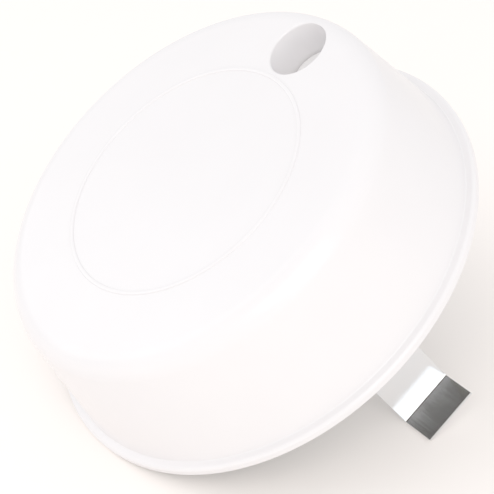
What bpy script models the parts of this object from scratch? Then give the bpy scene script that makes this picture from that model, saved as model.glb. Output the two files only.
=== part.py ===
"""A flush ceiling heat detector: domed cover, base plate, circuit board, terminal block and two spring clips.

The origin is the centre of the flange's back plane, which bears on the ceiling. +Z leaves through the face.
The clips stand on the Y axis and run towards -Z, and the sensing port is on the +X side of the face."""

import math

import bmesh
import bpy
from mathutils import Matrix, Vector

MM = 0.001
X, Y = Vector((1, 0, 0)), Vector((0, 1, 0))

# Clearances
GAP = 0.3 * MM  # between faces that touch on the real thing
OVERRUN = 1.0 * MM  # how far a cutter stands out of what it cuts
EMBED = 0.8 * MM  # how far a boss is sunk into its wall

# Cover
FLANGE_RADIUS = 50.8 * MM
FLANGE_THICKNESS = 2.1 * MM
FLANGE_LEDGE = 2.0 * MM  # flat ring from the lip in to the skirt's foot
FLANGE_ROUND = 0.5 * MM
COVER_HEIGHT = 29.8 * MM
COVER_WALL = 2.4 * MM
SKIRT_DRAFT = math.radians(10)
FACE_ROUND = 5.0 * MM
FACE_RING_RADIUS = 27.1 * MM
FACE_RING_WIDTH = 0.7 * MM
FACE_RING_HEIGHT = 0.25 * MM
PORT_RADIUS = 6.5 * MM
PORT_INSET = 15.8 * MM  # from the flange's edge to the port's centre
PORT_WALL = 1.6 * MM
POST_RADIUS = 2.8 * MM
POST_PILOT_RADIUS = 1.1 * MM
POST_PILOT_DEPTH = 9.0 * MM
POST_ANGLES = [math.radians(a) for a in (45, 135, 225, 315)]
POST_MARGIN = 1.2 * MM  # from a screw pad to the skirt's inner face

# Gasket in the flange's back
GROOVE_LAND = 1.0 * MM  # from the base plate's seat out to the groove
GROOVE_WIDTH = 1.8 * MM
GROOVE_DEPTH = 1.1 * MM

# Base plate
BASE_REAR = 0.9 * MM
BASE_THICKNESS = 2.4 * MM
BASE_CLEARANCE = 0.4 * MM
BASE_PAD_HEIGHT = 2.4 * MM
BASE_PAD_RADIUS = 4.2 * MM
BASE_SCREW_SEAT_RADIUS = 3.1 * MM
BASE_SCREW_HOLE_RADIUS = 1.7 * MM
PILOT_WALL = 0.7 * MM  # left above a blind pilot hole

# Circuit board
BOARD_THICKNESS = 1.6 * MM
BOARD_PAD_HEIGHT = 2.7 * MM
BOARD_PAD_RADIUS = 3.0 * MM
BOARD_PAD_INSET = 6.5 * MM
BOARD_PAD_ANGLES = [math.radians(a) for a in (42, 180, 318)]
BOARD_MARGIN = 1.0 * MM  # from the board's edge to the cover's posts
BOARD_HOLE_RADIUS = 1.5 * MM

# Spring clips
CLIP_WIDTH = 12.7 * MM
CLIP_THICKNESS = 0.5 * MM
CLIP_RADIUS = 31.6 * MM  # where the leaf leaves its foot
CLIP_LEAN = math.radians(11)  # how far the leaf leans outward
CLIP_REACH = 26.2 * MM  # from the flange's back to the face that bears behind the ceiling
CLIP_FLARE = 8.1 * MM
CLIP_FLARE_BEND = 0.9 * MM
CLIP_FOOT = 16.0 * MM
CLIP_ROOT_BEND = 0.9 * MM
CLIP_SCREW_SPACING = 7.0 * MM
CLIP_SCREW_FROM_ROOT = 8.2 * MM
CLIP_HOLE_RADIUS = 1.5 * MM
CLIP_PAD = Vector((13.0, 7.0, 0)) * MM

# Terminal block
POLES = 4
POLE_PITCH = 5.08 * MM
BLOCK_X = -14.0 * MM
BLOCK_DEPTH = 10.0 * MM
BLOCK_HEIGHT = 12.0 * MM
BLOCK_END_WALL = 0.6 * MM
EAR_LENGTH = 6.6 * MM
EAR_HEIGHT = 3.0 * MM
EAR_WIDTH = 7.0 * MM
CELL_WIDTH = 3.9 * MM
CELL_FRONT_WALL = 1.2 * MM
CELL_LENGTH = 7.4 * MM
CELL_HEIGHT = 7.0 * MM
CELL_ROOF = 1.6 * MM
WELL_RADIUS = 2.1 * MM
LEDGE_HEIGHT = 0.8 * MM
MOUTH_WIDTH = 3.6 * MM
MOUTH_HEIGHT = 2.6 * MM
CLAMP_SIZE = Vector((4.4, 3.3, 4.4)) * MM
CLAMP_WINDOW_WIDTH = 2.3 * MM
CLAMP_NEAR_WALL = 1.0 * MM
CLAMP_FAR_WALL = 0.6 * MM
CLAMP_TRAVEL = 1.6 * MM
CLAMP_MARGIN = 0.6 * MM  # from the clamp to its cell's front wall
PIN_WIDTH = 2.0 * MM
PIN_THICKNESS = 0.6 * MM
PIN_STANDS_PROUD = 0.6 * MM  # solder end above the board
PIN_MARGIN = 1.2 * MM  # from the clamp to the middle of the pin's leg
PIN_SLOT_MARGIN = 1.8 * MM  # more than the pins need, in the base plate's one slot

# Screws: head radius, head height, shank radius, shank length
BASE_SCREW = [2.7 * MM, 1.9 * MM, 1.1 * MM, 9.5 * MM]
BOARD_SCREW = [2.5 * MM, 1.7 * MM, 0.8 * MM, 5.2 * MM]
CLIP_SCREW = [2.3 * MM, 1.5 * MM, 0.8 * MM, 4.2 * MM]
BLOCK_SCREW = [2.3 * MM, 1.5 * MM, 0.8 * MM, 6.8 * MM]
TERMINAL_SCREW = [1.8 * MM, 1.4 * MM, 0.9 * MM]
RECESS_DEPTH = 0.55  # share of the head's height
RECESS_WIDTH = 0.6 * MM

# Sensing thermistor
PORT_DEPTH = 8.4 * MM  # from the face to the carrier that closes the port
CARRIER_INSET = 0.6 * MM  # from the port tube's end
CARRIER_THICKNESS = 2.4 * MM
BEAD_RADIUS = 1.3 * MM
BEAD_HEIGHT = 2.1 * MM
BEAD_STANDOFF = 0.6 * MM
LEG_RADIUS = 0.25 * MM
LEG_SPACING = 1.6 * MM

# Electronics: sizes, and places across the board
RELAY_SIZE = Vector((15.5, 10.5, 11.0)) * MM
RELAY_PLACE = Vector((4.0, 15.0)) * MM
CHIP_SIZE = Vector((10.0, 6.2, 1.7)) * MM
CHIP_PLACE = Vector((8.0, -8.0)) * MM
BRIDGE_SIZE = Vector((8.2, 6.4, 3.0)) * MM
BRIDGE_PLACE = Vector((-5.0, -19.0)) * MM
VARISTOR_SIZE = Vector((3.6, 7.5, 8.0)) * MM
VARISTOR_PLACE = Vector((-22.0, 15.0)) * MM
CAN_RADIUS = 4.0 * MM
CAN_HEIGHT = 11.5 * MM
CAN_CRIMP = 0.4 * MM
CAN_CRIMP_Z = 2.1 * MM
CAN_PLACE = Vector((-20.0, -18.0)) * MM
REFERENCE_RADIUS = 1.3 * MM
REFERENCE_HEIGHT = 3.0 * MM
REFERENCE_PLACE = Vector((24.0, -9.0)) * MM
RESISTORS = 3
RESISTOR_END_RADIUS = 1.2 * MM
RESISTOR_WAIST_RADIUS = 0.95 * MM
RESISTOR_LENGTH = 6.4 * MM
RESISTOR_PITCH = 3.5 * MM
RESISTOR_PLACE = Vector((12.0, 2.0)) * MM

# Faces around a turn
COVER_STEPS = 64
BOSS_STEPS = 16
SCREW_STEPS = 12

# Derived levels, from the back of the object to its face
SLOPE = math.tan(SKIRT_DRAFT)
FOOT_RADIUS = FLANGE_RADIUS - FLANGE_LEDGE
BASE_TOP = BASE_REAR + BASE_THICKNESS
BASE_PAD_TOP = BASE_TOP + BASE_PAD_HEIGHT
BOARD_PAD_TOP = BASE_TOP + BOARD_PAD_HEIGHT
BOARD_REAR = BOARD_PAD_TOP + GAP
BOARD_TOP = BOARD_REAR + BOARD_THICKNESS
PARTS_Z = BOARD_TOP + GAP
POST_END = BASE_PAD_TOP + GAP
CARRIER_TOP = COVER_HEIGHT - PORT_DEPTH
CARRIER_LOW = CARRIER_TOP - CARRIER_THICKNESS
TUBE_END = CARRIER_LOW - CARRIER_INSET
INNER_FACE = COVER_HEIGHT - COVER_WALL
SEAT_TOP = BASE_TOP + GAP


def skirt_inside(z):
    """The radius of the skirt's inner face at height z."""
    outside = FOOT_RADIUS - (z - FLANGE_THICKNESS) * SLOPE
    return outside - COVER_WALL / math.cos(SKIRT_DRAFT)


# Derived places across the object
SEAT_RADIUS = skirt_inside(SEAT_TOP) + GAP
BASE_RADIUS = SEAT_RADIUS - BASE_CLEARANCE
POST_PLACE = skirt_inside(POST_END) - BASE_PAD_RADIUS - POST_MARGIN
BOARD_RADIUS = POST_PLACE - POST_RADIUS - BOARD_MARGIN
BOARD_PAD_PLACE = BOARD_RADIUS - BOARD_PAD_INSET
PORT_PLACE = FLANGE_RADIUS - PORT_INSET
GROOVE_INNER = SEAT_RADIUS + GROOVE_LAND
CLIP_FOOT_Z = BASE_REAR - GAP - CLIP_THICKNESS / 2
HINGE_PLACE = CLIP_RADIUS - CLIP_ROOT_BEND - GAP
CLIP_SCREW_Y = CLIP_RADIUS - CLIP_SCREW_FROM_ROOT
BLOCK_TOP = BASE_REAR - GAP
BLOCK_REAR = BLOCK_TOP - BLOCK_HEIGHT
BLOCK_FRONT = BLOCK_X - BLOCK_DEPTH / 2
BLOCK_HALF_LENGTH = POLES * POLE_PITCH / 2 + BLOCK_END_WALL / 2
EAR_SCREW_Y = BLOCK_HALF_LENGTH + EAR_LENGTH / 2
CELL_TOP = BLOCK_TOP - CELL_ROOF
CELL_REAR = CELL_TOP - CELL_HEIGHT
CELL_X = BLOCK_FRONT + CELL_FRONT_WALL + CELL_LENGTH / 2
LEDGE_REAR = CELL_REAR - LEDGE_HEIGHT
CLAMP_REAR = CELL_REAR + GAP
CLAMP_X = BLOCK_FRONT + CELL_FRONT_WALL + CLAMP_MARGIN + CLAMP_SIZE.x / 2
CLAMP_GRIP_Z = CLAMP_REAR + CLAMP_SIZE.z - CLAMP_FAR_WALL
PIN_Z = CLAMP_GRIP_Z - GAP - PIN_THICKNESS / 2
PIN_LEG_X = CLAMP_X + CLAMP_SIZE.x / 2 + PIN_MARGIN
POLE_PLACES = [(i - (POLES - 1) / 2) * POLE_PITCH for i in range(POLES)]

for old in list(bpy.data.objects):
    bpy.data.objects.remove(old)


def new_collection(name):
    made = bpy.data.collections.new(name)
    bpy.context.scene.collection.children.link(made)
    return made


PARTS = new_collection("heat_detector")
CUTTERS = new_collection("cutters")


def material(name, colour, roughness, metallic=0.0):
    made = bpy.data.materials.new(name)
    made.use_nodes = True
    shader = made.node_tree.nodes["Principled BSDF"]
    shader.inputs["Base Color"].default_value = (*colour, 1)
    shader.inputs["Roughness"].default_value = roughness
    shader.inputs["Metallic"].default_value = metallic
    return made


WHITE_ABS = material("white_abs", (0.90, 0.89, 0.88), 0.25)
BLACK_ABS = material("black_abs", (0.03, 0.03, 0.028), 0.45)
ZINC_SPRING = material("zinc_spring_steel", (0.62, 0.66, 0.72), 0.2, 1.0)
ZINC_SCREW = material("zinc_screw_steel", (0.60, 0.60, 0.60), 0.3, 1.0)
GREY_FOAM = material("grey_foam", (0.10, 0.10, 0.11), 0.95)
GREEN_BOARD = material("green_board", (0.02, 0.16, 0.07), 0.4)
GREEN_BLOCK = material("green_polyamide", (0.05, 0.30, 0.14), 0.4)
TINNED_BRASS = material("tinned_brass", (0.75, 0.70, 0.58), 0.3, 1.0)
CLEAR_SILICONE = material("milky_silicone", (0.75, 0.75, 0.72), 0.6)
BLACK_EPOXY = material("black_epoxy", (0.02, 0.02, 0.02), 0.3)
BLUE_LACQUER = material("blue_lacquer", (0.05, 0.15, 0.45), 0.35)
RELAY_CASE = material("relay_case", (0.75, 0.73, 0.65), 0.4)
BEIGE_LACQUER = material("beige_lacquer", (0.60, 0.48, 0.30), 0.4)
ALUMINIUM_CAN = material("aluminium_can", (0.08, 0.09, 0.20), 0.35)


def add_object(name, mesh, finish, place=(0, 0, 0)):
    """Puts a mesh in the scene as a part, or as a cutter where it has no finish."""
    made = bpy.data.objects.new(name, mesh)
    made.location = place
    if finish:
        PARTS.objects.link(made)
        mesh.materials.append(finish)
    else:
        CUTTERS.objects.link(made)
        made.hide_render = True
        made.display_type = "WIRE"
    return made


def arc(centre, radius, start, end, steps):
    """Points along an arc in the profile plane, both ends included, with angles in radians."""
    angles = [start + (end - start) * i / steps for i in range(steps + 1)]
    return [(centre[0] + radius * math.cos(a), centre[1] + radius * math.sin(a)) for a in angles]


def turned(name, profile, finish, steps, closed=False, place=(0, 0, 0)):
    """A profile of (radius, height) points, down its outer side, turned about the vertical axis."""
    count = len(profile)
    edges = [(i, i + 1) for i in range(count - 1)]
    if closed:
        edges.append((count - 1, 0))
    mesh = bpy.data.meshes.new(name)
    mesh.from_pydata([(r, 0, z) for r, z in profile], edges, [])
    made = add_object(name, mesh, finish, place)
    screw = made.modifiers.new("turn", "SCREW")
    screw.axis = "Z"
    screw.angle = 2 * math.pi
    screw.steps = steps
    screw.render_steps = steps
    screw.use_merge_vertices = True
    screw.merge_threshold = 1e-6
    return made


def blocks(name, sizes_and_centres, finish, place=(0, 0, 0), bevel=0.0):
    """One mesh of boxes, each given by its size and its centre from the object's origin."""
    shape = bmesh.new()
    for size, centre in sizes_and_centres:
        grown = Matrix.Translation(centre) @ Matrix.Diagonal((*size, 1))
        bmesh.ops.create_cube(shape, size=1, matrix=grown)
    mesh = bpy.data.meshes.new(name)
    shape.to_mesh(mesh)
    shape.free()
    made = add_object(name, mesh, finish, place)
    if bevel:
        rounding = made.modifiers.new("edges", "BEVEL")
        rounding.width = bevel
        rounding.segments = 1
    return made


def rounds(name, places, radius, low, high, finish=None, steps=BOSS_STEPS):
    """One mesh of upright cylinders that share a radius and run from low to high."""
    shape = bmesh.new()
    for x, y in places:
        middle = Matrix.Translation((x, y, (low + high) / 2))
        bmesh.ops.create_cone(
            shape,
            cap_ends=True,
            segments=steps,
            radius1=radius,
            radius2=radius,
            depth=high - low,
            matrix=middle,
        )
    mesh = bpy.data.meshes.new(name)
    shape.to_mesh(mesh)
    shape.free()
    return add_object(name, mesh, finish)


def boolean(body, tool, operation):
    step = body.modifiers.new(tool.name, "BOOLEAN")
    step.operation = operation
    step.solver = "EXACT"
    step.object = tool


def cut(body, tool):
    boolean(body, tool, "DIFFERENCE")


def fuse(body, tool):
    boolean(body, tool, "UNION")


def around(radius, angles):
    return [(radius * math.cos(a), radius * math.sin(a)) for a in angles]


def rounded_path(points, radius, steps=5):
    """A path of vectors with each inner corner turned at its radius."""
    path = [points[0]]
    for before, corner, after, bend in zip(points, points[1:], points[2:], radius):
        back, on = (before - corner).normalized(), (after - corner).normalized()
        half = back.angle(on) / 2
        centre = corner + (back + on).normalized() * (bend / math.sin(half))
        first = (corner + back * (bend / math.tan(half)) - centre).normalized()
        last = (corner + on * (bend / math.tan(half)) - centre).normalized()
        for i in range(steps + 1):
            path.append(centre + first.slerp(last, i / steps) * bend)
    return path + [points[-1]]


def strip(name, path, across, thickness, finish, place):
    """A flat strip bent along a path, as wide as the vector across, with half its thickness on each side."""
    shape = bmesh.new()
    rows = [[shape.verts.new(p + across * side) for side in (-0.5, 0.5)] for p in path]
    for near, far in zip(rows, rows[1:]):
        shape.faces.new((near[0], near[1], far[1], far[0]))
    mesh = bpy.data.meshes.new(name)
    shape.to_mesh(mesh)
    shape.free()
    made = add_object(name, mesh, finish, place)
    shell = made.modifiers.new("thickness", "SOLIDIFY")
    shell.thickness = thickness
    shell.offset = 0
    shell.use_even_offset = True
    return made


def screw_mesh(name, size, slots, finish):
    """The mesh of a screw whose head stands on its underside at height 0, with its shank below."""
    head, height, shank, length = size
    dome = [(0, height), (head * 0.7, height), (head * 0.93, height * 0.75), (head, height * 0.35)]
    rest = [(head, 0), (shank, 0), (shank, -length + shank), (shank * 0.3, -length), (0, -length)]
    body = turned(name, dome + rest, finish, SCREW_STEPS)
    for turn in range(slots):
        size = [head * 1.3, RECESS_WIDTH, 2 * RECESS_DEPTH * height]
        if slots == 1:
            size[0] = head * 3
        recess = blocks(f"{name}_recess_{turn}", [(size, (0, 0, height))], None)
        recess.rotation_euler.z = turn * math.pi / 2
        cut(body, recess)
    evaluated = body.evaluated_get(bpy.context.evaluated_depsgraph_get())
    mesh = bpy.data.meshes.new_from_object(evaluated)
    mesh.name = name
    for used in [body] + [m.object for m in body.modifiers if m.type == "BOOLEAN"]:
        bpy.data.objects.remove(used)
    return mesh


def place_screw(name, mesh, place, points_up):
    """Sets a screw's head on a place. points_up is for one whose shank runs towards +Z."""
    made = bpy.data.objects.new(name, mesh)
    PARTS.objects.link(made)
    made.location = place
    if points_up:
        made.rotation_euler.x = math.pi
    return made


def make_cover():
    """The one-piece moulding: face, raised ring, skirt, flange, port tube and four screw posts."""
    round_z = COVER_HEIGHT - FACE_ROUND
    tangent_z = round_z + FACE_ROUND * math.sin(SKIRT_DRAFT)
    tangent_r = FOOT_RADIUS - (tangent_z - FLANGE_THICKNESS) * SLOPE
    round_r = tangent_r - FACE_ROUND * math.cos(SKIRT_DRAFT)
    ring_in = FACE_RING_RADIUS - FACE_RING_WIDTH / 2
    ring_out = FACE_RING_RADIUS + FACE_RING_WIDTH / 2
    ring_top = COVER_HEIGHT + FACE_RING_HEIGHT
    bead = FACE_RING_HEIGHT / 2
    profile = [(0, COVER_HEIGHT), (ring_in - bead, COVER_HEIGHT), (ring_in, ring_top)]
    profile += [(ring_out, ring_top), (ring_out + bead, COVER_HEIGHT)]
    profile += arc((round_r, round_z), FACE_ROUND, math.pi / 2, SKIRT_DRAFT, 5)
    profile += [(FOOT_RADIUS, FLANGE_THICKNESS)]
    lip = (FLANGE_RADIUS - FLANGE_ROUND, FLANGE_THICKNESS - FLANGE_ROUND)
    profile += arc(lip, FLANGE_ROUND, math.pi / 2, 0, 3)
    profile += [(FLANGE_RADIUS, GAP), (FLANGE_RADIUS - GAP, 0)]
    groove_out = GROOVE_INNER + GROOVE_WIDTH
    profile += [(groove_out, 0), (groove_out, GROOVE_DEPTH)]
    profile += [(GROOVE_INNER, GROOVE_DEPTH), (GROOVE_INNER, 0), (SEAT_RADIUS, 0)]
    profile += [(SEAT_RADIUS, SEAT_TOP), (skirt_inside(SEAT_TOP), SEAT_TOP)]
    inner_round = FACE_ROUND - COVER_WALL
    profile += arc((round_r, round_z), inner_round, SKIRT_DRAFT, math.pi / 2, 3)
    profile += [(0, INNER_FACE)]
    cover = turned("cover", profile, WHITE_ABS, COVER_STEPS)

    port = [(PORT_PLACE, 0)]
    tube_radius = PORT_RADIUS + PORT_WALL
    boss_top = INNER_FACE + EMBED
    fuse(cover, rounds("port_tube", port, tube_radius, TUBE_END, boss_top, steps=32))
    posts = around(POST_PLACE, POST_ANGLES)
    fuse(cover, rounds("cover_posts", posts, POST_RADIUS, POST_END, boss_top))
    above = COVER_HEIGHT + OVERRUN
    cut(cover, rounds("port_bore", port, PORT_RADIUS, TUBE_END - OVERRUN, above, steps=32))
    pilot_top = POST_END + POST_PILOT_DEPTH
    pilots = rounds("post_pilots", posts, POST_PILOT_RADIUS + GAP, POST_END - OVERRUN, pilot_top, steps=12)
    cut(cover, pilots)


def make_gasket():
    """The foam ring that lies in the groove of the flange's back."""
    inner = GROOVE_INNER + GAP
    outer = GROOVE_INNER + GROOVE_WIDTH - GAP
    top = GROOVE_DEPTH - GAP
    turned("flange_gasket", [(outer, top), (outer, 0), (inner, 0), (inner, top)], GREY_FOAM, COVER_STEPS, True)


def make_base_plate():
    """The plate that closes the cover, with pads for everything that is screwed to it."""
    edge = GAP
    profile = [(0, BASE_TOP), (BASE_RADIUS - edge, BASE_TOP), (BASE_RADIUS, BASE_TOP - edge)]
    profile += [(BASE_RADIUS, BASE_REAR + edge), (BASE_RADIUS - edge, BASE_REAR), (0, BASE_REAR)]
    base = turned("base_plate", profile, BLACK_ABS, COVER_STEPS)
    sunk = BASE_TOP - EMBED
    seats = around(POST_PLACE, POST_ANGLES)
    fuse(base, rounds("seat_pads", seats, BASE_PAD_RADIUS, sunk, BASE_PAD_TOP))
    board_pads = around(BOARD_PAD_PLACE, BOARD_PAD_ANGLES)
    fuse(base, rounds("board_pads", board_pads, BOARD_PAD_RADIUS, sunk, BOARD_PAD_TOP))
    pad_height = BASE_PAD_TOP - sunk
    pads = [((CLIP_PAD.x, CLIP_PAD.y, pad_height), (0, side * CLIP_SCREW_Y, 0)) for side in (-1, 1)]
    ear_pad = (EAR_WIDTH, EAR_LENGTH, pad_height)
    pads += [(ear_pad, (BLOCK_X, side * EAR_SCREW_Y, 0)) for side in (-1, 1)]
    fuse(base, blocks("screw_pads", pads, None, (0, 0, (sunk + BASE_PAD_TOP) / 2)))

    below = BASE_REAR - OVERRUN
    cut(base, rounds("seat_recesses", seats, BASE_SCREW_SEAT_RADIUS, below, BASE_TOP))
    cut(base, rounds("seat_holes", seats, BASE_SCREW_HOLE_RADIUS, below, BASE_PAD_TOP + OVERRUN, steps=12))
    rear_top = BASE_PAD_TOP - PILOT_WALL
    clip_spots = [(side * CLIP_SCREW_SPACING / 2, end * CLIP_SCREW_Y) for side in (-1, 1) for end in (-1, 1)]
    cut(base, rounds("clip_pilots", clip_spots, CLIP_SCREW[2] + GAP, below, rear_top, steps=12))
    ear_spots = [(BLOCK_X, side * EAR_SCREW_Y) for side in (-1, 1)]
    cut(base, rounds("block_pilots", ear_spots, BLOCK_SCREW[2] + GAP, below, rear_top, steps=12))
    board_pilot = BOARD_SCREW[2] + GAP
    blind = BASE_REAR + PILOT_WALL
    cut(base, rounds("board_pilots", board_pads, board_pilot, blind, BOARD_PAD_TOP + OVERRUN, steps=12))
    across_pins = (POLES - 1) * POLE_PITCH + PIN_WIDTH + PIN_SLOT_MARGIN
    slot = (PIN_THICKNESS + PIN_SLOT_MARGIN, across_pins, BASE_THICKNESS + 2 * OVERRUN)
    cut(base, blocks("pin_slot", [(slot, (PIN_LEG_X, 0, (BASE_REAR + BASE_TOP) / 2))], None))


def make_clip(letter, turn, screw):
    """One bent spring strip. Its foot is screwed to the base plate, and its leaf flexes at the root bend."""
    side = Matrix.Rotation(turn, 3, "Z")
    foot_end = HINGE_PLACE - GAP / 2
    foot_path = [Vector((0, -foot_end + CLIP_FOOT, 0)), Vector((0, -foot_end, 0))]
    foot_place = Vector((0, 0, CLIP_FOOT_Z))
    foot = strip(f"clip_foot_{letter}", foot_path, X * CLIP_WIDTH, CLIP_THICKNESS, ZINC_SPRING, foot_place)
    foot.rotation_euler.z = turn
    holes = [side @ Vector((x * CLIP_SCREW_SPACING / 2, -CLIP_SCREW_Y, 0)) for x in (-1, 1)]
    low, high = CLIP_FOOT_Z - OVERRUN, CLIP_FOOT_Z + OVERRUN
    spots = [(hole.x, hole.y) for hole in holes]
    cut(foot, rounds(f"clip_holes_{letter}", spots, CLIP_HOLE_RADIUS, low, high, steps=12))

    root = CLIP_RADIUS - HINGE_PLACE
    drop = CLIP_FOOT_Z + CLIP_REACH + CLIP_THICKNESS / 2
    fold = -root - drop * math.tan(CLIP_LEAN)
    corners = [Vector((0, -GAP / 2, 0)), Vector((0, -root, 0)), Vector((0, fold, -drop))]
    corners.append(Vector((0, fold - CLIP_THICKNESS / 2 - CLIP_FLARE, -drop)))
    path = rounded_path(corners, [CLIP_ROOT_BEND, CLIP_FLARE_BEND])
    hinge = side @ Vector((0, -HINGE_PLACE, CLIP_FOOT_Z))
    leaf = strip(f"clip_leaf_{letter}", path, X * CLIP_WIDTH, CLIP_THICKNESS, ZINC_SPRING, hinge)
    leaf.rotation_euler.z = turn

    seat = CLIP_FOOT_Z - CLIP_THICKNESS / 2 - GAP
    for number, (x, y) in enumerate(spots, 1):
        place_screw(f"clip_screw_{letter}_{number}", screw, (x, y, seat), True)


def make_board():
    """The circuit board, on the base plate's pads, with slots for the terminal pins."""
    profile = [(0, BOARD_TOP), (BOARD_RADIUS, BOARD_TOP), (BOARD_RADIUS, BOARD_REAR), (0, BOARD_REAR)]
    board = turned("circuit_board", profile, GREEN_BOARD, COVER_STEPS)
    pads = around(BOARD_PAD_PLACE, BOARD_PAD_ANGLES)
    low, high = BOARD_REAR - OVERRUN, BOARD_TOP + OVERRUN
    cut(board, rounds("board_holes", pads, BOARD_HOLE_RADIUS, low, high, steps=12))
    hole = (PIN_THICKNESS + 2 * GAP, PIN_WIDTH + 2 * GAP, high - low)
    slots = [(hole, (PIN_LEG_X, y, (low + high) / 2)) for y in POLE_PLACES]
    cut(board, blocks("pin_holes", slots, None))


def make_terminal_block():
    """The housing behind the base plate, with a mouth, a cell and a screw well for each pole."""
    middle = (BLOCK_TOP + BLOCK_REAR) / 2
    body_size = (BLOCK_DEPTH, 2 * BLOCK_HALF_LENGTH, BLOCK_HEIGHT)
    housing = blocks("terminal_block", [(body_size, (0, 0, 0))], GREEN_BLOCK, (BLOCK_X, 0, middle))
    ear = (EAR_WIDTH, 2 * (BLOCK_HALF_LENGTH + EAR_LENGTH), EAR_HEIGHT)
    fuse(housing, blocks("block_ears", [(ear, (BLOCK_X, 0, BLOCK_TOP - EAR_HEIGHT / 2))], None))
    ear_spots = [(BLOCK_X, side * EAR_SCREW_Y) for side in (-1, 1)]
    ear_low = BLOCK_TOP - EAR_HEIGHT - OVERRUN
    cut(housing, rounds("ear_holes", ear_spots, CLIP_HOLE_RADIUS, ear_low, BLOCK_TOP + OVERRUN, steps=12))

    cell = (CELL_LENGTH, CELL_WIDTH, CELL_HEIGHT)
    cell_z = (CELL_TOP + CELL_REAR) / 2
    cut(housing, blocks("cells", [(cell, (CELL_X, y, cell_z)) for y in POLE_PLACES], None))
    mouth = (2 * CELL_FRONT_WALL + OVERRUN, MOUTH_WIDTH, MOUTH_HEIGHT)
    mouth_z = CLAMP_GRIP_Z + CLAMP_TRAVEL / 2 - GAP
    cut(housing, blocks("mouths", [(mouth, (BLOCK_FRONT, y, mouth_z)) for y in POLE_PLACES], None))
    pin_cut = (PIN_THICKNESS + 2 * GAP, PIN_WIDTH + 2 * GAP, 2 * CELL_ROOF + OVERRUN)
    cut(housing, blocks("pin_cuts", [(pin_cut, (PIN_LEG_X, y, BLOCK_TOP)) for y in POLE_PLACES], None))
    spots = [(CLAMP_X, y) for y in POLE_PLACES]
    cut(housing, rounds("screw_wells", spots, WELL_RADIUS, BLOCK_REAR - OVERRUN, LEDGE_REAR))
    shank = TERMINAL_SCREW[2] + GAP
    cut(housing, rounds("shank_holes", spots, shank, BLOCK_REAR - OVERRUN, cell_z, steps=12))


def make_terminals():
    """Each pole's bus pin, rising clamp and slotted screw. Both movers' origins are on the screw's axis."""
    head_seat = LEDGE_REAR - GAP
    tip = PIN_Z - PIN_THICKNESS / 2 - GAP
    size = TERMINAL_SCREW + [tip - head_seat]
    screw = screw_mesh("terminal_screw", size, 1, ZINC_SCREW)
    front = CLAMP_X - CLAMP_SIZE.x / 2 + GAP
    path = [Vector((front, 0, PIN_Z)), Vector((PIN_LEG_X, 0, PIN_Z))]
    path.append(Vector((PIN_LEG_X, 0, BOARD_TOP + PIN_STANDS_PROUD)))
    clamp_middle = CLAMP_REAR + CLAMP_SIZE.z / 2
    window_low = CLAMP_REAR + CLAMP_NEAR_WALL
    window = (CLAMP_SIZE.x + OVERRUN, CLAMP_WINDOW_WIDTH, CLAMP_GRIP_Z - window_low)
    window_z = (window_low + CLAMP_GRIP_Z) / 2
    for number, y in enumerate(POLE_PLACES, 1):
        place_screw(f"terminal_screw_{number}", screw, (CLAMP_X, y, head_seat), True)
        strip(f"terminal_pin_{number}", path, Y * PIN_WIDTH, PIN_THICKNESS, TINNED_BRASS, (0, y, 0))
        name = f"wire_clamp_{number}"
        clamp = blocks(name, [(CLAMP_SIZE, (0, 0, 0))], ZINC_SCREW, (CLAMP_X, y, clamp_middle))
        cut(clamp, blocks(f"{name}_window", [(window, (CLAMP_X, y, window_z))], None))
        low, high = CLAMP_REAR - OVERRUN, window_z
        hole = TERMINAL_SCREW[2] + GAP / 2
        cut(clamp, rounds(f"{name}_hole", [(CLAMP_X, y)], hole, low, high, steps=12))


def make_sensor():
    """The thermistor bead that stands in the port's air, on two legs through a silicone carrier."""
    legs = [(PORT_PLACE, side * LEG_SPACING / 2) for side in (-1, 1)]
    port = [(PORT_PLACE, 0)]
    carrier = rounds("sensor_carrier", port, PORT_RADIUS - GAP, CARRIER_LOW, CARRIER_TOP, CLEAR_SILICONE, 32)
    low, high = CARRIER_LOW - OVERRUN, CARRIER_TOP + OVERRUN
    cut(carrier, rounds("leg_holes", legs, LEG_RADIUS + GAP, low, high, steps=8))
    bead_low = CARRIER_TOP + BEAD_STANDOFF
    for number, leg in enumerate(legs, 1):
        rounds(f"sensor_leg_{number}", [leg], LEG_RADIUS, PARTS_Z, bead_low - GAP, TINNED_BRASS, 8)
    drop = [(0, BEAD_HEIGHT)] + arc((0, BEAD_HEIGHT - BEAD_RADIUS), BEAD_RADIUS, math.radians(60), 0, 3)
    drop += [(BEAD_RADIUS * 0.75, 0), (0, 0)]
    turned("thermistor_bead", drop, BLACK_EPOXY, BOSS_STEPS, place=(PORT_PLACE, 0, bead_low))


def on_board(name, size, place, finish, bevel):
    """A moulded case that stands on the board's top face."""
    middle = (place.x, place.y, PARTS_Z + size.z / 2)
    blocks(name, [(size, (0, 0, 0))], finish, middle, bevel)


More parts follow.
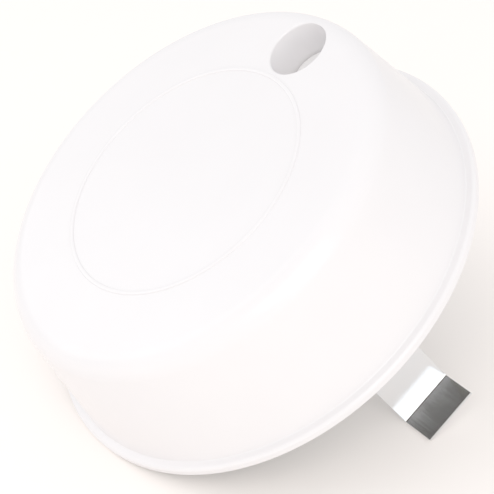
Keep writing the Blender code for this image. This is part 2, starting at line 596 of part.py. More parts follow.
def make_components():
    """The electronics on the board, each standing on the board's top face."""
    on_board("alarm_relay", RELAY_SIZE, RELAY_PLACE, RELAY_CASE, 0.5 * MM)
    on_board("microcontroller", CHIP_SIZE, CHIP_PLACE, BLACK_EPOXY, 0.2 * MM)
    on_board("bridge_rectifier", BRIDGE_SIZE, BRIDGE_PLACE, BLACK_EPOXY, 0.3 * MM)
    on_board("surge_varistor", VARISTOR_SIZE, VARISTOR_PLACE, BLUE_LACQUER, 1.0 * MM)

    shoulder = CAN_RADIUS - CAN_CRIMP
    profile = [(0, CAN_HEIGHT), (shoulder, CAN_HEIGHT), (CAN_RADIUS, CAN_HEIGHT - CAN_CRIMP)]
    profile += [(CAN_RADIUS, CAN_CRIMP_Z + CAN_CRIMP), (shoulder, CAN_CRIMP_Z)]
    profile += [(CAN_RADIUS, CAN_CRIMP_Z - CAN_CRIMP), (CAN_RADIUS, 0), (0, 0)]
    place = (CAN_PLACE.x, CAN_PLACE.y, PARTS_Z)
    turned("filter_capacitor", profile, ALUMINIUM_CAN, BOSS_STEPS, place=place)

    top = (0, REFERENCE_HEIGHT - REFERENCE_RADIUS)
    profile = [(0, REFERENCE_HEIGHT)] + arc(top, REFERENCE_RADIUS, math.radians(60), 0, 3)
    profile += [(REFERENCE_RADIUS * 0.7, 0), (0, 0)]
    place = (REFERENCE_PLACE.x, REFERENCE_PLACE.y, PARTS_Z)
    turned("reference_thermistor", profile, BLACK_EPOXY, SCREW_STEPS, place=place)

    end, waist, half = RESISTOR_END_RADIUS, RESISTOR_WAIST_RADIUS, RESISTOR_LENGTH / 2
    outer = [(0, half), (end * 0.8, half), (end, half * 0.8), (waist, half * 0.55)]
    profile = outer + [(radius, -height) for radius, height in reversed(outer)]
    for number in range(1, RESISTORS + 1):
        x = RESISTOR_PLACE.x + (number - 1) * RESISTOR_PITCH
        place = (x, RESISTOR_PLACE.y, PARTS_Z + end)
        lying = turned(f"resistor_{number}", profile, BEIGE_LACQUER, SCREW_STEPS, place=place)
        lying.rotation_euler.x = math.pi / 2


make_cover()
make_gasket()
make_base_plate()
make_board()
make_components()
make_sensor()
make_terminal_block()
make_terminals()

base_screw = screw_mesh("base_screw", BASE_SCREW, 2, ZINC_SCREW)
for number, (x, y) in enumerate(around(POST_PLACE, POST_ANGLES), 1):
    place_screw(f"base_screw_{number}", base_screw, (x, y, BASE_TOP - GAP), True)
board_screw = screw_mesh("board_screw", BOARD_SCREW, 2, ZINC_SCREW)
for number, (x, y) in enumerate(around(BOARD_PAD_PLACE, BOARD_PAD_ANGLES), 1):
    place_screw(f"board_screw_{number}", board_screw, (x, y, PARTS_Z), False)
clip_screw = screw_mesh("clip_screw", CLIP_SCREW, 2, ZINC_SCREW)
make_clip("a", 0.0, clip_screw)
make_clip("b", math.pi, clip_screw)
block_screw = screw_mesh("block_screw", BLOCK_SCREW, 2, ZINC_SCREW)
for number, side in enumerate((-1, 1), 1):
    seat = BLOCK_TOP - EAR_HEIGHT - GAP
    place_screw(f"block_screw_{number}", block_screw, (BLOCK_X, side * EAR_SCREW_Y, seat), True)
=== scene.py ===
import math
import bmesh
import bpy
from mathutils import Matrix, Quaternion, Vector


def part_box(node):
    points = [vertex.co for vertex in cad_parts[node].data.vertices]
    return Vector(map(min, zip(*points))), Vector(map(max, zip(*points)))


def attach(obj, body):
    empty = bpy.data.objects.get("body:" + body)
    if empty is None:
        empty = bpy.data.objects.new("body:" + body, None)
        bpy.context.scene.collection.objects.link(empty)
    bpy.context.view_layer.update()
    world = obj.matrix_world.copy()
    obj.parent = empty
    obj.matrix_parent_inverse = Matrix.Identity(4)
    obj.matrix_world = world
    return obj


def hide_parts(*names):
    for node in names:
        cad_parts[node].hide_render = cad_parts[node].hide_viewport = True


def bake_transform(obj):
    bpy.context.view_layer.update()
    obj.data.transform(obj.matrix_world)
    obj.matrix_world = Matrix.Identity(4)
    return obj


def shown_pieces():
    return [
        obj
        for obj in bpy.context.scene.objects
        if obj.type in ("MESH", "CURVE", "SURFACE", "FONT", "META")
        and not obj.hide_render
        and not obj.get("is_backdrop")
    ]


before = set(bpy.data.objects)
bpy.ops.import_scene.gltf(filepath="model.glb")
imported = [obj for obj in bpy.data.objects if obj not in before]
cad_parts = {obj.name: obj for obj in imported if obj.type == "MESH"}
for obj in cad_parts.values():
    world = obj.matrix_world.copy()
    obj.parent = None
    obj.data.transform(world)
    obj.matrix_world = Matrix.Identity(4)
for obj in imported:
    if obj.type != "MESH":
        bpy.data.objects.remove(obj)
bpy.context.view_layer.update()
MM = 0.001
X, Y, Z = Vector((1, 0, 0)), Vector((0, 1, 0)), Vector((0, 0, 1))


# The cover
# One glossy white ABS moulding: flat face with a fine raised ring, rounded edge, drafted skirt, thin flange.
# The port is open to the room. Its tube and the four screw posts stand inside, drawn with the mould.
cover_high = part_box("cover")[1]
RIM = cover_high.x
RING_HEIGHT = 0.25 * MM
FACE = cover_high.z - RING_HEIGHT
WALL = 2.4 * MM
DRAFT = math.radians(10)
FLANGE = 2.1 * MM
LEDGE = 2.0 * MM
FLANGE_ROUND = 0.75 * MM
SKIRT_FILLET = 0.35 * MM
FACE_ROUND = 5.0 * MM
RING_RADIUS = 27.1 * MM
RING_WIDTH = 0.7 * MM
PORT = Vector((RIM - 15.8 * MM, 0, 0))
PORT_RADIUS = 6.5 * MM
PORT_ROUND = 0.45 * MM
TUBE_WALL = 1.6 * MM
POST_RADIUS = 2.8 * MM
POST_BORE = 1.4 * MM
POST_END = 6.0 * MM
BORE_END = 15.0 * MM
GROOVE_INNER = 47.4 * MM
SEAT = GROOVE_INNER - 1.0 * MM
GROOVE_OUTER = 49.2 * MM
GROOVE_DEPTH = 1.1 * MM
EMBED = 0.8 * MM


def linked(name, mesh):
    """A new piece of the object, from its mesh."""
    made = bpy.data.objects.new(name, mesh)
    bpy.context.scene.collection.objects.link(made)
    return made


def applied(piece):
    """The piece with its modifiers made part of its mesh."""
    graph = bpy.context.evaluated_depsgraph_get()
    mesh = bpy.data.meshes.new_from_object(piece.evaluated_get(graph))
    piece.modifiers.clear()
    piece.data = mesh
    return piece


def arc(centre, radius, start, end, steps):
    """Points along an arc in a profile's plane, both ends included, with angles in degrees."""
    angles = [math.radians(start + (end - start) * i / steps) for i in range(steps + 1)]
    return [(centre[0] + radius * math.cos(a), centre[1] + radius * math.sin(a)) for a in angles]


def turned(name, profile, steps, place=(0, 0, 0), closed=False):
    """A profile of (radius, height) points, down its outer side, turned about a vertical axis at a place."""
    count = len(profile)
    edges = [(i, i + 1) for i in range(count - 1)]
    if closed:
        edges.append((count - 1, 0))
    mesh = bpy.data.meshes.new(name)
    mesh.from_pydata([(r, 0, z) for r, z in profile], edges, [])
    made = linked(name, mesh)
    screw = made.modifiers.new("turn", "SCREW")
    screw.steps = steps
    screw.render_steps = steps
    screw.use_merge_vertices = True
    screw.merge_threshold = 1e-6
    applied(made)
    made.data.transform(Matrix.Translation(place))
    return made


def carve(piece, *tools, operation="DIFFERENCE"):
    """Cuts each tool from the piece, or joins it on, and takes the tool away."""
    for tool in tools:
        step = piece.modifiers.new(tool.name, "BOOLEAN")
        step.operation = operation
        step.solver = "EXACT"
        step.object = tool
        applied(piece)
        bpy.data.objects.remove(tool)
    return piece


def rod(name, place, radius, low, high, steps=48):
    """An upright cylinder, used as a tool or as a boss."""
    return turned(name, [(0, high), (radius, high), (radius, low), (0, low)], steps, (place[0], place[1], 0))


def smoothed(piece, angle=32):
    """Smooth shading up to an angle, with flat faces kept flat."""
    piece.data.shade_smooth()
    piece.data.set_sharp_from_angle(angle=math.radians(angle))
    weighted = piece.modifiers.new("flat faces", "WEIGHTED_NORMAL")
    weighted.keep_sharp = True
    return piece


def fitted(piece, finish, slot, body, *nodes):
    """Gives a piece its finish, its body and the frame's nodes that it stands for."""
    piece.data.materials.clear()
    piece.data.materials.append(finish)
    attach(piece, body)
    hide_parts(*nodes)
    return piece


def surface(name, **values):
    """A new material and its shader, with the values that are the same all over it."""
    made = bpy.data.materials.new(name)
    made.use_nodes = True
    shader = made.node_tree.nodes["Principled BSDF"]
    sockets = {socket.name.replace(" ", "_").lower(): socket for socket in shader.inputs}
    for socket, value in values.items():
        sockets[socket].default_value = value
    return made, shader


def grain(finish, scale, stretch=(1, 1, 1), detail=3.0):
    """Fine noise in the piece's own space, with scale in features per metre."""
    nodes, links = finish.node_tree.nodes, finish.node_tree.links
    where = nodes.new("ShaderNodeTexCoord")
    sized = nodes.new("ShaderNodeMapping")
    sized.inputs["Scale"].default_value = stretch
    noise = nodes.new("ShaderNodeTexNoise")
    noise.inputs["Scale"].default_value = scale
    noise.inputs["Detail"].default_value = detail
    links.new(where.outputs["Object"], sized.inputs["Vector"])
    links.new(sized.outputs["Vector"], noise.inputs["Vector"])
    return noise.outputs["Fac"]


def varied(finish, factor, socket, low, high):
    """Lets a shader's number follow a grain, from low to high."""
    spread = finish.node_tree.nodes.new("ShaderNodeMapRange")
    spread.inputs["From Min"].default_value = 0.3
    spread.inputs["From Max"].default_value = 0.7
    spread.inputs["To Min"].default_value = low
    spread.inputs["To Max"].default_value = high
    finish.node_tree.links.new(factor, spread.inputs["Value"])
    finish.node_tree.links.new(spread.outputs["Result"], socket)


def coloured(finish, factor, socket, first, second):
    """Lets a shader's colour follow a grain, from one colour to another."""
    ramp = finish.node_tree.nodes.new("ShaderNodeValToRGB")
    ramp.color_ramp.elements[0].position = 0.3
    ramp.color_ramp.elements[0].color = (*first, 1)
    ramp.color_ramp.elements[1].position = 0.7
    ramp.color_ramp.elements[1].color = (*second, 1)
    finish.node_tree.links.new(factor, ramp.inputs["Fac"])
    finish.node_tree.links.new(ramp.outputs["Color"], socket)


def raised(finish, factor, shader, height, strength=1.0):
    """Lets a grain stand up from the surface by a height in metres."""
    bump = finish.node_tree.nodes.new("ShaderNodeBump")
    bump.inputs["Distance"].default_value = height
    bump.inputs["Strength"].default_value = strength
    finish.node_tree.links.new(factor, bump.inputs["Height"])
    finish.node_tree.links.new(bump.outputs["Normal"], shader.inputs["Normal"])


white_abs, white_shader = surface("white_abs", ior=1.53, specular_ior_level=0.45)
WHITES = (0.715, 0.693, 0.703), (0.730, 0.708, 0.718)
coloured(white_abs, grain(white_abs, 60), white_shader.inputs["Base Color"], *WHITES)
varied(white_abs, grain(white_abs, 400), white_shader.inputs["Roughness"], 0.22, 0.27)
raised(white_abs, grain(white_abs, 350, detail=1.0), white_shader, 0.004 * MM, 0.5)

slope = math.tan(DRAFT)
foot = RIM - LEDGE
round_z = FACE - FACE_ROUND
tangent_z = round_z + FACE_ROUND * math.sin(DRAFT)
round_r = foot - (tangent_z - FLANGE) * slope - FACE_ROUND * math.cos(DRAFT)
ring_in, ring_out = RING_RADIUS - RING_WIDTH / 2, RING_RADIUS + RING_WIDTH / 2
bead = RING_HEIGHT / 2
cover_profile = [(0, FACE), (ring_in - bead, FACE), (ring_in - bead * 0.3, FACE + RING_HEIGHT * 0.8)]
cover_profile += [(ring_in + bead * 0.6, FACE + RING_HEIGHT), (ring_out - bead * 0.6, FACE + RING_HEIGHT)]
cover_profile += [(ring_out + bead * 0.3, FACE + RING_HEIGHT * 0.8), (ring_out + bead, FACE)]
cover_profile += arc((round_r, round_z), FACE_ROUND, 90, 10, 20)
fillet = (foot + SKIRT_FILLET, FLANGE + SKIRT_FILLET)
cover_profile += arc(fillet, SKIRT_FILLET, 190, 270, 5)
cover_profile += arc((RIM - FLANGE_ROUND, FLANGE - FLANGE_ROUND), FLANGE_ROUND, 90, 0, 8)
cover_profile += arc((RIM - FLANGE_ROUND / 2, FLANGE_ROUND / 2), FLANGE_ROUND / 2, 0, -90, 5)
cover_profile += [(GROOVE_OUTER, 0), (GROOVE_OUTER, GROOVE_DEPTH)]
cover_profile += [(GROOVE_INNER, GROOVE_DEPTH), (GROOVE_INNER, 0)]
seat_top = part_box("base_plate")[0].z + 2.7 * MM
inside_foot = foot - (seat_top - FLANGE) * slope - WALL / math.cos(DRAFT)
cover_profile += [(SEAT, 0), (SEAT, seat_top), (inside_foot, seat_top)]
cover_profile += arc((round_r, round_z), FACE_ROUND - WALL, 10, 90, 8)
cover_profile += [(0, FACE - WALL)]
cover = turned("cover_moulding", cover_profile, 240)

carrier_low, carrier_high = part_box("sensor_carrier")
tube_end = carrier_low.z - 0.6 * MM
inner_face = FACE - WALL
carve(cover, rod("tube", PORT, PORT_RADIUS + TUBE_WALL, tube_end, inner_face + EMBED), operation="UNION")
post_places = []
for number in range(1, 5):
    low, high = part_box(f"base_screw_{number}")
    post_places.append((low + high) / 2)
for place in post_places:
    post = rod("post", place, POST_RADIUS, POST_END, inner_face + EMBED, 24)
    carve(cover, post, operation="UNION")
    carve(cover, rod("bore", place, POST_BORE, POST_END - 1 * MM, BORE_END, 16))
mouth = [(0, FACE + 1 * MM), (PORT_RADIUS + PORT_ROUND, FACE + 1 * MM)]
mouth += arc((PORT_RADIUS + PORT_ROUND, FACE - PORT_ROUND), PORT_ROUND, 90, 180, 6)
mouth += [(PORT_RADIUS, tube_end - 1 * MM), (0, tube_end - 1 * MM)]
carve(cover, turned("mouth", mouth, 96, PORT))
fitted(smoothed(cover), white_abs, "white_abs", "detector", "cover")


# The gasket
# A closed-cell foam ring, pressed into the groove in the flange's back. It seals the flange to the ceiling.
foam, foam_shader = surface("grey_foam", roughness=0.95)
coloured(foam, grain(foam, 1500), foam_shader.inputs["Base Color"], (0.06, 0.06, 0.065), (0.14, 0.14, 0.15))
raised(foam, grain(foam, 2500), foam_shader, 0.15 * MM)


def refinished(finish, *nodes):
    """Gives the frame's own nodes a finish."""
    for name in nodes:
        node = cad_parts[name]
        node.data.materials.clear()
        node.data.materials.append(finish)
        node.data.shade_smooth()
        node.data.set_sharp_from_angle(angle=math.radians(32))


refinished(foam, "flange_gasket")


# The circuit board and its electronics
# A green glass-fibre board on three pads, out of sight in the cover. It holds the relay, the controller chip, the
# rectifier, the surge varistor, the capacitor, the resistors and the thermistor that reads the air inside.
mask, mask_shader = surface("green_board", roughness=0.35)
coloured(mask, grain(mask, 900), mask_shader.inputs["Base Color"], (0.012, 0.12, 0.05), (0.022, 0.18, 0.08))
raised(mask, grain(mask, 1800), mask_shader, 0.03 * MM)
refinished(mask, "circuit_board")
ELECTRONICS = {
    "relay_case": ((0.70, 0.67, 0.58), (0.78, 0.75, 0.66), 0.42, ["alarm_relay"]),
    "black_epoxy": ((0.012, 0.012, 0.013), (0.03, 0.03, 0.03), 0.35, [
        "microcontroller", "bridge_rectifier", "reference_thermistor"]),
    "blue_lacquer": ((0.03, 0.10, 0.35), (0.06, 0.17, 0.50), 0.25, ["surge_varistor"]),
    "aluminium_can": ((0.06, 0.07, 0.17), (0.10, 0.11, 0.24), 0.30, ["filter_capacitor"]),
    "beige_lacquer": ((0.52, 0.40, 0.24), (0.64, 0.51, 0.33), 0.35, [
        "resistor_1", "resistor_2", "resistor_3"]),
}
lacquers = {}
for name, (first, second, roughness, nodes) in ELECTRONICS.items():
    made, shader = surface(name, roughness=roughness)
    coloured(made, grain(made, 1200), shader.inputs["Base Color"], first, second)
    raised(made, grain(made, 3000), shader, 0.03 * MM)
    refinished(made, *nodes)
    lacquers[name] = made


# The screws
# Zinc-plated pan-head screws with a cross recess, cold formed, each driven into a moulded pilot hole.
# Four hold the base plate, three the board, two each clip and two the terminal block.
zinc, zinc_shader = surface("zinc_screws", metallic=1.0)
coloured(zinc, grain(zinc, 900), zinc_shader.inputs["Base Color"], (0.58, 0.60, 0.63), (0.70, 0.71, 0.72))
varied(zinc, grain(zinc, 1600), zinc_shader.inputs["Roughness"], 0.22, 0.38)
raised(zinc, grain(zinc, 3500), zinc_shader, 0.012 * MM)
RECESS_ARM = 0.5 * MM
RECESS_DEPTH = 0.9 * MM
THREAD_PITCH = 0.9 * MM


def screw_piece(node, head_height, points_up, recess_arms, shank_radius, body, threaded=True):
    """A screw in a node's own place. Its head is at the lower end where it points up."""
    low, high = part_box(node)
    middle = (low + high) / 2
    head = (high.x - low.x) / 2
    length = high.z - low.z - head_height
    profile = [(0, head_height), (head * 0.45, head_height * 0.98), (head * 0.72, head_height * 0.9)]
    profile += arc((head * 0.78, head_height * 0.5), head * 0.22, 65, 0, 5)
    profile += [(head, head_height * 0.12), (head * 0.97, 0), (shank_radius, 0)]
    if threaded:
        turns = int((length - 1.2 * MM) / THREAD_PITCH)
        for turn in range(turns):
            z = -0.6 * MM - turn * THREAD_PITCH
            profile += [(shank_radius * 0.8, z), (shank_radius * 1.1, z - THREAD_PITCH / 2)]
    profile += [(shank_radius * 0.8, -length + 0.5 * MM), (shank_radius * 0.3, -length), (0, -length)]
    made = turned(node + "_piece", profile, 36)
    for arm in range(recess_arms):
        reach = head * 0.62 if recess_arms > 1 else head * 1.2
        shape = bmesh.new()
        bmesh.ops.create_cube(shape, size=1)
        bmesh.ops.scale(shape, vec=(2 * reach, RECESS_ARM, 2 * RECESS_DEPTH), verts=shape.verts)
        for vertex in shape.verts:
            if vertex.co.z < 0 and recess_arms > 1:
                vertex.co.x *= 0.35
        mesh = bpy.data.meshes.new("recess")
        shape.to_mesh(mesh)
        shape.free()
        tool = linked("recess", mesh)
        turn = Matrix.Rotation(arm * math.pi / 2, 4, "Z")
        mesh.transform(Matrix.Translation((0, 0, head_height)) @ turn)
        carve(made, tool)
    seat = low.z + head_height if points_up else high.z - head_height
    flip = Matrix.Rotation(math.pi, 4, "X") if points_up else Matrix.Identity(4)
    made.data.transform(Matrix.Translation((middle.x, middle.y, seat)) @ flip)
    return fitted(smoothed(made, 28), zinc, "zinc_screw_steel", body, node)


for number in range(1, 5):
    screw_piece(f"base_screw_{number}", 1.9 * MM, True, 2, 1.1 * MM, "detector")
for number in range(1, 4):
    screw_piece(f"board_screw_{number}", 1.7 * MM, False, 2, 0.8 * MM, "detector")
for number in range(1, 3):
    screw_piece(f"block_screw_{number}", 1.5 * MM, True, 2, 0.8 * MM, "detector")
    for letter in "ab":
        screw_piece(f"clip_screw_{letter}_{number}", 1.5 * MM, True, 2, 0.8 * MM, "detector")


# The base plate
# A black ABS plate that closes the cover's back. Its rear has sunk seats for the four screws, and pads stand on
# its inner side.
plate_low, plate_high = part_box("base_plate")
PLATE_THICKNESS = 2.4 * MM
PLATE_ROUND = 0.4 * MM
SEAT_RECESS = 3.1 * MM
SCREW_HOLE = 1.7 * MM
SEAT_PAD, BOARD_PAD, FIXING_PAD = 4.2 * MM, 3.0 * MM, 3.3 * MM
PAD_HEIGHT, BOARD_PAD_HEIGHT = 2.4 * MM, 2.7 * MM
BOARD_PILOT, FIXING_PILOT = 1.0 * MM, 1.05 * MM
PIN_SLOT = 2.4 * MM
plate_radius = plate_high.x
plate_top = plate_low.z + PLATE_THICKNESS
black_abs, black_shader = surface("black_abs")
BLACKS = (0.05, 0.045, 0.036), (0.075, 0.068, 0.055)
coloured(black_abs, grain(black_abs, 500), black_shader.inputs["Base Color"], *BLACKS)
varied(black_abs, grain(black_abs, 700), black_shader.inputs["Roughness"], 0.38, 0.55)
raised(black_abs, grain(black_abs, 2600, detail=2.0), black_shader, 0.04 * MM)
edge = plate_radius - PLATE_ROUND
plate_profile = [(0, plate_top)] + arc((edge, plate_top - PLATE_ROUND), PLATE_ROUND, 90, 0, 4)
plate_profile += arc((edge, plate_low.z + PLATE_ROUND), PLATE_ROUND, 0, -90, 4) + [(0, plate_low.z)]
plate = turned("base_plate_moulding", plate_profile, 192)
sunk = plate_top - EMBED
for place in post_places:
    carve(plate, rod("pad", place, SEAT_PAD, sunk, plate_top + PAD_HEIGHT, 32), operation="UNION")
    carve(plate, rod("seat", place, SEAT_RECESS, plate_low.z - 1 * MM, plate_top, 40))
    carve(plate, rod("hole", place, SCREW_HOLE, plate_low.z, plate_top + 3 * MM, 24))
for number in range(1, 4):
    low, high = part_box(f"board_screw_{number}")
    place = (low + high) / 2
    carve(plate, rod("pad", place, BOARD_PAD, sunk, plate_top + BOARD_PAD_HEIGHT, 32), operation="UNION")
    carve(plate, rod("pilot", place, BOARD_PILOT, plate_low.z + 0.7 * MM, plate_top + 4 * MM, 16))
for node in ["block_screw_1", "block_screw_2"] + [f"clip_screw_{c}_{n}" for c in "ab" for n in (1, 2)]:
    low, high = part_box(node)
    place = (low + high) / 2
    carve(plate, rod("pad", place, FIXING_PAD, sunk, plate_top + PAD_HEIGHT, 32), operation="UNION")
    carve(plate, rod("pilot", place, FIXING_PILOT, plate_low.z - 1 * MM, plate_top + 1.7 * MM, 16))


def boxes(name, sizes_and_centres):
    """One mesh of boxes, each given by its size and its centre."""
    shape = bmesh.new()
    for size, centre in sizes_and_centres:
        place = Matrix.Translation(centre) @ Matrix.Diagonal((*size, 1))
        bmesh.ops.create_cube(shape, size=1, matrix=place)
    mesh = bpy.data.meshes.new(name)
    shape.to_mesh(mesh)
    shape.free()
    return linked(name, mesh)


pin_boxes = [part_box(f"terminal_pin_{number}") for number in range(1, 5)]
pin_leg_x = pin_boxes[0][1].x - 0.3 * MM
slot_length = pin_boxes[3][1].y - pin_boxes[0][0].y + 1.8 * MM
carve(plate, boxes("slot", [((PIN_SLOT, slot_length, 8 * MM), (pin_leg_x, 0, plate_low.z))]))
fitted(smoothed(plate), black_abs, "black_abs", "detector", "base_plate")


# The spring clips
# Each is one strip of zinc-plated spring steel, half an inch wide, sheared and bent: a foot screwed to the base
# plate, a leaf that runs back through the ceiling's hole, and an outward end that holds behind the board.
STRIP_WIDTH = 12.7 * MM
STRIP = 0.5 * MM
STRIP_EDGE = 0.1 * MM
CLIP_PLACE = 31.6 * MM
LEAF_LEAN = math.radians(11)
ROOT_BEND = 0.9 * MM
FLARE_BEND = 0.9 * MM
CLIP_HOLE = 1.5 * MM
foot_low, foot_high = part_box("clip_foot_a")
leaf_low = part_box("clip_leaf_a")[0]
foot_z = (foot_low.z + foot_high.z) / 2
flare_z = leaf_low.z + STRIP / 2
spring, spring_shader = surface("zinc_strip", metallic=1.0)
ZINC_TONES = (0.60, 0.63, 0.66), (0.66, 0.67, 0.68)
coloured(spring, grain(spring, 90), spring_shader.inputs["Base Color"], *ZINC_TONES)
lines = grain(spring, 60, stretch=(60, 1.5, 1.5), detail=5.0)
varied(spring, lines, spring_shader.inputs["Roughness"], 0.08, 0.20)
raised(spring, lines, spring_shader, 0.006 * MM, 0.5)


def rounded_path(points, bends, steps=14):
    """A path with each inner corner turned at its bend radius."""
    path = [points[0]]
    for before, corner, after, bend in zip(points, points[1:], points[2:], bends):
        back, on = (before - corner).normalized(), (after - corner).normalized()
        half = back.angle(on) / 2
        centre = corner + (back + on).normalized() * (bend / math.sin(half))
        first = (corner + back * (bend / math.tan(half)) - centre).normalized()
        last = (corner + on * (bend / math.tan(half)) - centre).normalized()
        for i in range(steps + 1):
            path.append(centre + first.slerp(last, i / steps) * bend)
    return path + [points[-1]]


def strip_mesh(name, path, width, thickness, edge):
    """A flat strip, its width along X and its four long edges rounded, bent along a path in the YZ plane."""
    section = []
    for u, v, start in ((1, 1, 0), (-1, 1, 90), (-1, -1, 180), (1, -1, 270)):
        section += arc((u * (width / 2 - edge), v * (thickness / 2 - edge)), edge, start, start + 90, 3)
    shape = bmesh.new()
    rows = []
    for i, point in enumerate(path):
        run = (path[min(i + 1, len(path) - 1)] - path[max(i - 1, 0)]).normalized()
        rows.append([shape.verts.new(point + X * u + X.cross(run) * v) for u, v in section])
    for near, far in zip(rows, rows[1:]):
        for i in range(len(section)):
            j = (i + 1) % len(section)
            shape.faces.new((near[i], near[j], far[j], far[i]))
    shape.faces.new(rows[0])
    shape.faces.new(rows[-1])
    bmesh.ops.recalc_face_normals(shape, faces=shape.faces)
    mesh = bpy.data.meshes.new(name)
    shape.to_mesh(mesh)
    shape.free()
    return linked(name, mesh)


fold = -CLIP_PLACE - (foot_z - flare_z) * math.tan(LEAF_LEAN)
corners = [Vector((0, foot_high.y, foot_z)), Vector((0, -CLIP_PLACE, foot_z))]
corners += [Vector((0, fold, flare_z)), Vector((0, leaf_low.y, flare_z))]
clip_path = rounded_path(corners, [ROOT_BEND, FLARE_BEND])
for letter, turn in (("a", 0.0), ("b", math.pi)):
    clip = strip_mesh(f"clip_strip_{letter}", clip_path, STRIP_WIDTH, STRIP, STRIP_EDGE)
    spin = Matrix.Rotation(turn, 4, "Z")
    clip.data.transform(spin)
    for number in (1, 2):
        low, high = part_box(f"clip_screw_{letter}_{number}")
        carve(clip, rod("hole", (low + high) / 2, CLIP_HOLE, -1 * MM, 2 * MM, 32))
    clip.data.materials.clear()
    clip.data.materials.append(spring)
    smoothed(clip)
    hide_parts(f"clip_foot_{letter}", f"clip_leaf_{letter}")
    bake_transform(clip)


# The thermistor
# A black epoxy bead that the room's air reaches through the port. It stands just over a milky silicone carrier,
# which closes the port from the inside, on two tinned legs that come up from the board.
milky, milky_shader = surface("milky_silicone", roughness=0.5, subsurface_weight=0.0)
MILKS = (0.80, 0.79, 0.79), (0.86, 0.85, 0.85)
coloured(milky, grain(milky, 300), milky_shader.inputs["Base Color"], *MILKS)
raised(milky, grain(milky, 900), milky_shader, 0.02 * MM)
tinned, tinned_shader = surface("tinned_brass", metallic=1.0)
TINS = (0.66, 0.63, 0.57), (0.78, 0.75, 0.68)
coloured(tinned, grain(tinned, 1200), tinned_shader.inputs["Base Color"], *TINS)
varied(tinned, grain(tinned, 1500), tinned_shader.inputs["Roughness"], 0.22, 0.4)
CARRIER_ROUND = 0.3 * MM
carrier_radius = (carrier_high.x - carrier_low.x) / 2
shoulder = carrier_radius - CARRIER_ROUND
profile = [(0, carrier_high.z)] + arc((shoulder, carrier_high.z - CARRIER_ROUND), CARRIER_ROUND, 90, 0, 4)
profile += [(carrier_radius, carrier_low.z), (0, carrier_low.z)]
carrier = turned("carrier_moulding", profile, 64, (PORT.x, PORT.y, 0))
for number in (1, 2):
    low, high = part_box(f"sensor_leg_{number}")
    place = (low + high) / 2
    carve(carrier, rod("hole", place, 0.5 * MM, low.z, high.z + 1 * MM, 16))
    leg = rod(f"sensor_leg_{number}_wire", place, (high.x - low.x) / 2, low.z, high.z, 16)
    fitted(smoothed(leg), tinned, "tinned_brass", "detector", f"sensor_leg_{number}")
fitted(smoothed(carrier), milky, "milky_silicone", "detector", "sensor_carrier")
bead_low, bead_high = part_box("thermistor_bead")
radius = (bead_high.x - bead_low.x) / 2
drop = [(0, bead_high.z)] + arc((0, bead_high.z - radius), radius, 85, 0, 10)
drop += arc((radius * 0.7, bead_low.z + radius * 0.3), radius * 0.3, 0, -90, 4) + [(0, bead_low.z)]
bead_piece = turned("thermistor_drop", drop, 40, (PORT.x, PORT.y, 0))
fitted(smoothed(bead_piece), lacquers["black_epoxy"], "black_epoxy", "detector", "thermistor_bead")


# The terminal block
# A green polyamide housing screwed behind the base plate by two ears. Each of its four poles has a mouth for the
# wire and a well for the screwdriver.
green, green_shader = surface("green_polyamide")
GREENS = (0.035, 0.25, 0.11), (0.055, 0.33, 0.15)
coloured(green, grain(green, 700), green_shader.inputs["Base Color"], *GREENS)
varied(green, grain(green, 900), green_shader.inputs["Roughness"], 0.34, 0.5)
raised(green, grain(green, 2600), green_shader, 0.03 * MM)
refinished(green, "terminal_block")


def bevelled(piece, width, segments=2, angle=40):
    """Rounds the edges sharper than an angle."""
    step = piece.modifiers.new("edges", "BEVEL")
    step.width = width
    step.segments = segments
    step.limit_method = "ANGLE"
    step.angle_limit = math.radians(angle)
    step.use_clamp_overlap = True
    return applied(piece)


# The terminals
# Each pole has a slotted steel screw that turns in place, a rising clamp that travels on it, and a tinned brass
# pin that the clamp presses the wire against. The pin's leg goes through the base plate and is soldered.
SCREW_HEAD, SCREW_SHANK = 1.4 * MM, 0.9 * MM
WINDOW_WIDTH = 2.3 * MM
PIN_WIDTH, PIN_THICKNESS, PIN_BEND = 2.0 * MM, 0.6 * MM, 0.35 * MM
for number in range(1, 5):
    screw = f"terminal_screw_{number}"
    screw_piece(screw, SCREW_HEAD, True, 1, SCREW_SHANK, screw, threaded=False)
    clamp_low, clamp_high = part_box(f"wire_clamp_{number}")
    size, centre = clamp_high - clamp_low, (clamp_low + clamp_high) / 2
    clamp = bevelled(boxes(f"wire_clamp_{number}_cage", [(size, centre)]), 0.18 * MM)
    window_low, window_high = clamp_low.z + 1.0 * MM, clamp_high.z - 0.6 * MM
    window_size = (size.x + 1 * MM, WINDOW_WIDTH, window_high - window_low)
    window = (window_size, (centre.x, centre.y, (window_low + window_high) / 2))
    carve(clamp, boxes("window", [window]))
    carve(clamp, rod("hole", centre, 1.05 * MM, clamp_low.z - 1 * MM, window_low + 0.5 * MM, 24))
    fitted(smoothed(clamp), zinc, "zinc_screw_steel", f"wire_clamp_{number}", f"wire_clamp_{number}")
    pin_low, pin_high = pin_boxes[number - 1]
    flat_z = pin_low.z + PIN_THICKNESS / 2
    points = [Vector((0, pin_low.x, flat_z)), Vector((0, pin_leg_x, flat_z))]
    points.append(Vector((0, pin_leg_x, pin_high.z)))
    bent = rounded_path(points, [PIN_BEND], 6)
    pin = strip_mesh(f"terminal_pin_{number}_strip", bent, PIN_WIDTH, PIN_THICKNESS, 0.08 * MM)
    sideways = Matrix.Rotation(-math.pi / 2, 4, "Z")
    pin.data.transform(Matrix.Translation((0, (pin_low.y + pin_high.y) / 2, 0)) @ sideways)
    fitted(smoothed(pin), tinned, "tinned_brass", "detector", f"terminal_pin_{number}")


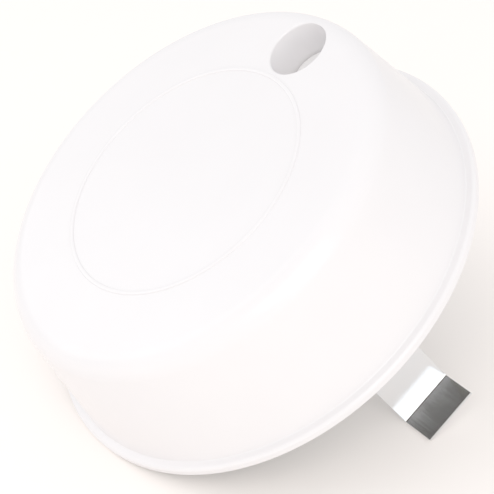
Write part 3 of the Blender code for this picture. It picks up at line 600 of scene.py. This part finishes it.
# The studio
# The detector lies tilted on a pale table: on the low edge of its flange and the lower corners of its clips.
# One large soft light stands behind it to one side, two more fill from the front, and the room is pale.
rest_edge = Vector((-RIM, 0, FLANGE_ROUND / 2))
rest_clip = Vector((-STRIP_WIDTH / 2, 0, leaf_low.z))
run = (rest_clip - rest_edge).normalized()
table_up = Y.cross(run) * -1
if table_up.z < 0:
    table_up = -table_up
graph = bpy.context.evaluated_depsgraph_get()
lowest = min(table_up.dot(v.co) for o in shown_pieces() for v in o.evaluated_get(graph).data.vertices)
TABLE_HALF = 1.6
corners = [(-1, -1), (1, -1), (1, 1), (-1, 1)]
along = Y.cross(table_up)
points = [table_up * lowest + along * u * TABLE_HALF + Y * v * TABLE_HALF for u, v in corners]
mesh = bpy.data.meshes.new("table")
mesh.from_pydata(points, [], [(0, 1, 2, 3)])
table = linked("table", mesh)
if mesh.polygons[0].normal.dot(table_up) < 0:
    mesh.flip_normals()
paper, paper_shader = surface("table", roughness=0.7)
PAPERS = (0.950, 0.880, 0.830), (0.960, 0.890, 0.840)
coloured(paper, grain(paper, 12), paper_shader.inputs["Base Color"], *PAPERS)
clear = paper.node_tree.nodes.new("ShaderNodeBsdfTransparent")
side = paper.node_tree.nodes.new("ShaderNodeNewGeometry")
one_sided = paper.node_tree.nodes.new("ShaderNodeMixShader")
output = paper.node_tree.nodes["Material Output"]
paper.node_tree.links.new(side.outputs["Backfacing"], one_sided.inputs["Fac"])
paper.node_tree.links.new(paper_shader.outputs["BSDF"], one_sided.inputs[1])
paper.node_tree.links.new(clear.outputs["BSDF"], one_sided.inputs[2])
paper.node_tree.links.new(one_sided.outputs["Shader"], output.inputs["Surface"])
mesh.materials.append(paper)
table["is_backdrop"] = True


def soft_light(name, direction, distance, size, power, colour):
    """A square light that faces the detector from a direction."""
    lamp = bpy.data.lights.new(name, "AREA")
    lamp.size = size
    lamp.energy = power
    lamp.color = colour
    made = bpy.data.objects.new(name, lamp)
    bpy.context.scene.collection.objects.link(made)
    toward = Vector(direction).normalized()
    made.location = toward * distance
    made.rotation_mode = "QUATERNION"
    made.rotation_quaternion = toward.to_track_quat("Z", "Y")


soft_light("key", (-0.25, 0.6, 0.78), 0.75, 0.55, 1.1, (0.96, 0.98, 1.0))
soft_light("front", (-0.02, -0.62, 0.78), 0.9, 0.5, 2.2, (1.0, 0.98, 0.96))
soft_light("fill", (0.086, -0.94, 0.34), 0.9, 0.5, 1.3, (1.0, 1.0, 1.0))
world = bpy.data.worlds.new("room")
world.use_nodes = True
bpy.context.scene.world = world
WALLS = (0.93, 0.93, 0.945)
PATCHES = [
    ((0.086, -0.50, 0.86), 13, 6, (0.63, 0.51, 0.36)),
]
nodes, links = world.node_tree.nodes, world.node_tree.links
direction = nodes.new("ShaderNodeTexCoord").outputs["Generated"]
shown = nodes.new("ShaderNodeRGB")
shown.outputs[0].default_value = (*WALLS, 1)
colour = shown.outputs[0]
for toward, radius, softness, tone in PATCHES:
    facing = nodes.new("ShaderNodeVectorMath")
    facing.operation = "DOT_PRODUCT"
    facing.inputs[1].default_value = Vector(toward).normalized()
    within = nodes.new("ShaderNodeMapRange")
    within.interpolation_type = "SMOOTHSTEP"
    within.inputs["From Min"].default_value = math.cos(math.radians(radius + softness))
    within.inputs["From Max"].default_value = math.cos(math.radians(radius - softness))
    mixed = nodes.new("ShaderNodeMix")
    mixed.data_type = "RGBA"
    mixed.inputs["B"].default_value = (*tone, 1)
    links.new(direction, facing.inputs[0])
    links.new(facing.outputs["Value"], within.inputs["Value"])
    links.new(within.outputs["Result"], mixed.inputs["Factor"])
    links.new(colour, mixed.inputs["A"])
    colour = mixed.outputs["Result"]
links.new(colour, nodes["Background"].inputs["Color"])
bpy.context.scene.view_settings.view_transform = "Standard"
bpy.context.scene.view_settings.gamma = 1.7

AIM = Vector((-0.1, 2.4, 2.8)) * MM
VIEW_AZIMUTH = math.radians(-6.5)
VIEW_ELEVATION = math.radians(40.43)
VIEW_ROLL = math.radians(-44.3)
VIEW_DISTANCE = 341.7 * MM
level = math.cos(VIEW_ELEVATION)
back = Vector((math.sin(VIEW_AZIMUTH) * level, -math.cos(VIEW_AZIMUTH) * level, math.sin(VIEW_ELEVATION)))
camera = bpy.data.objects.new("camera", bpy.data.cameras.new("camera"))
bpy.context.scene.collection.objects.link(camera)
camera.data.lens = 118.06
camera.location = AIM + back * VIEW_DISTANCE
camera.rotation_mode = "QUATERNION"
camera.rotation_quaternion = (-back).to_track_quat("-Z", "Y") @ Quaternion(Z, VIEW_ROLL)
bpy.context.scene.camera = camera
